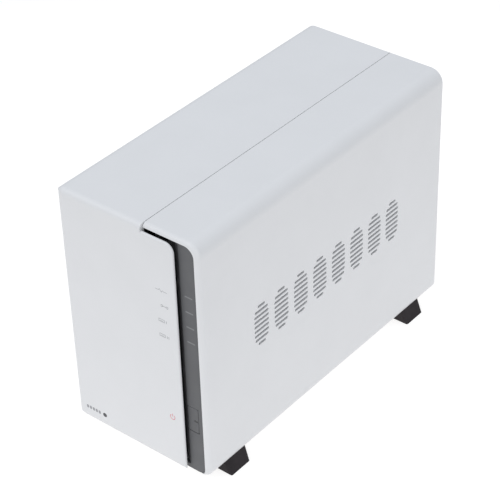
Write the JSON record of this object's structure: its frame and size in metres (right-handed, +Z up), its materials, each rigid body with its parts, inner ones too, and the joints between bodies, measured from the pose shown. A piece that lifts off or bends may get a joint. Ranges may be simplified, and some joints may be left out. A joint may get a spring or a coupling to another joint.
{
  "type": "two-bay desktop network attached storage",
  "caption": "Upright box-shaped network storage with a slide-off side cover, a dark status strip, a power button, side louvres, rubber feet, and a fan, disks and boards inside.",
  "frame": {"origin": "centre of the bounding box's underside, on the surface that the rubber feet stand on", "axes": "+Z up; +Y from the front panel to the rear panel; +X to the right as seen from the front, the side of the dark strip"},
  "size_m": [0.106, 0.2256, 0.165],
  "materials": {
    "housing_white": "fine satin moulded texture, cool white",
    "bezel_grey": "satin mid grey moulding",
    "light_guide": "translucent grey-white plastic",
    "rubber_black": "matt near-black rubber",
    "galvanised_steel": "zinc-plated pressed sheet",
    "screw_steel": "nickel-plated",
    "fan_black": "matt black glass-filled plastic",
    "winding_copper": "enamelled copper wire",
    "circuit_board": "green solder mask",
    "chip_black": "moulded black epoxy or plastic",
    "socket_white": "natural nylon",
    "capacitor_can": "sleeved aluminium can, plated cell",
    "heatsink_aluminium": "extruded, anodised",
    "disk_casting": "die cast, bead blasted",
    "disk_lid_steel": "pressed stainless lid",
    "socket_shield": "tinned steel shield",
    "contact_gold": "gold-plated",
    "lead_black": "matt PVC jacket"
  },
  "bodies": {
    "root": {"base_shell": "housing_white", "board_headers": "socket_white", "capacitors": "capacitor_can", "chassis_screws": "screw_steel", "clock_battery": "capacitor_can", "cover_screws": "screw_steel", "disk_1_board": "circuit_board", "disk_1_body": "disk_casting", "disk_1_connector": "chip_black", "disk_1_lid": "disk_lid_steel", "disk_1_light_pipe": "light_guide", "disk_2_board": "circuit_board", "disk_2_body": "disk_casting", "disk_2_connector": "chip_black", "disk_2_lid": "disk_lid_steel", "disk_2_light_pipe": "light_guide", "disk_riser": "circuit_board", "disk_screws": "screw_steel", "drive_cage": "galvanised_steel", "fan_frame": "fan_black", "fan_lead": "lead_black", "fan_motor": "winding_copper", "fan_screws": "screw_steel", "foot_front_right": "rubber_black", "foot_rear_right": "rubber_black", "front_bezel": "bezel_grey", "front_board": "circuit_board", "front_board_lead": "lead_black", "front_board_plug": "socket_white", "front_board_screws": "screw_steel", "front_board_socket": "socket_white", "front_leds": "socket_white", "inductors": "chip_black", "mainboard": "circuit_board", "mainboard_screws": "screw_steel", "mainboard_standoffs": "screw_steel", "memory_chips": "chip_black", "network_jack": "socket_shield", "network_jack_contacts": "contact_gold", "network_light_pipe": "light_guide", "power_jack": "chip_black", "power_switch_body": "chip_black", "processor": "chip_black", "processor_heatsink": "heatsink_aluminium", "reset_switch_body": "chip_black", "riser_connectors": "chip_black", "riser_slot": "chip_black", "status_light_pipe": "light_guide", "steel_chassis": "galvanised_steel", "tray_screws": "screw_steel", "usb_jack": "socket_shield", "usb_tongues": "chip_black"},
    "cover": {"left_cover": "housing_white", "foot_front_left": "rubber_black", "foot_rear_left": "rubber_black"},
    "button": {"power_button": "bezel_grey", "power_button_lens": "light_guide", "power_switch_plunger": "socket_white"},
    "rotor": {"fan_rotor": "fan_black"},
    "reset_plunger": {"reset_switch_plunger": "socket_white"}
  },
  "joints": [
    {"name": "cover_slide", "type": "slide", "parent": "root", "child": "cover", "axis": [0, -1, 0], "range_m": [0, 0.23]},
    {"name": "power_button_press", "type": "slide", "parent": "root", "child": "button", "axis": [0, 1, 0], "range_m": [0, 0.0008], "stiffness_N_per_m": 2500},
    {"name": "fan_spin", "type": "hinge", "parent": "root", "child": "rotor", "pos_m": [0, 0.0959, 0.108], "axis": [0, 1, 0], "continuous": true},
    {"name": "reset_press", "type": "slide", "parent": "root", "child": "reset_plunger", "axis": [0, -1, 0], "range_m": [0, 0.0005], "stiffness_N_per_m": 1500}
  ]
}
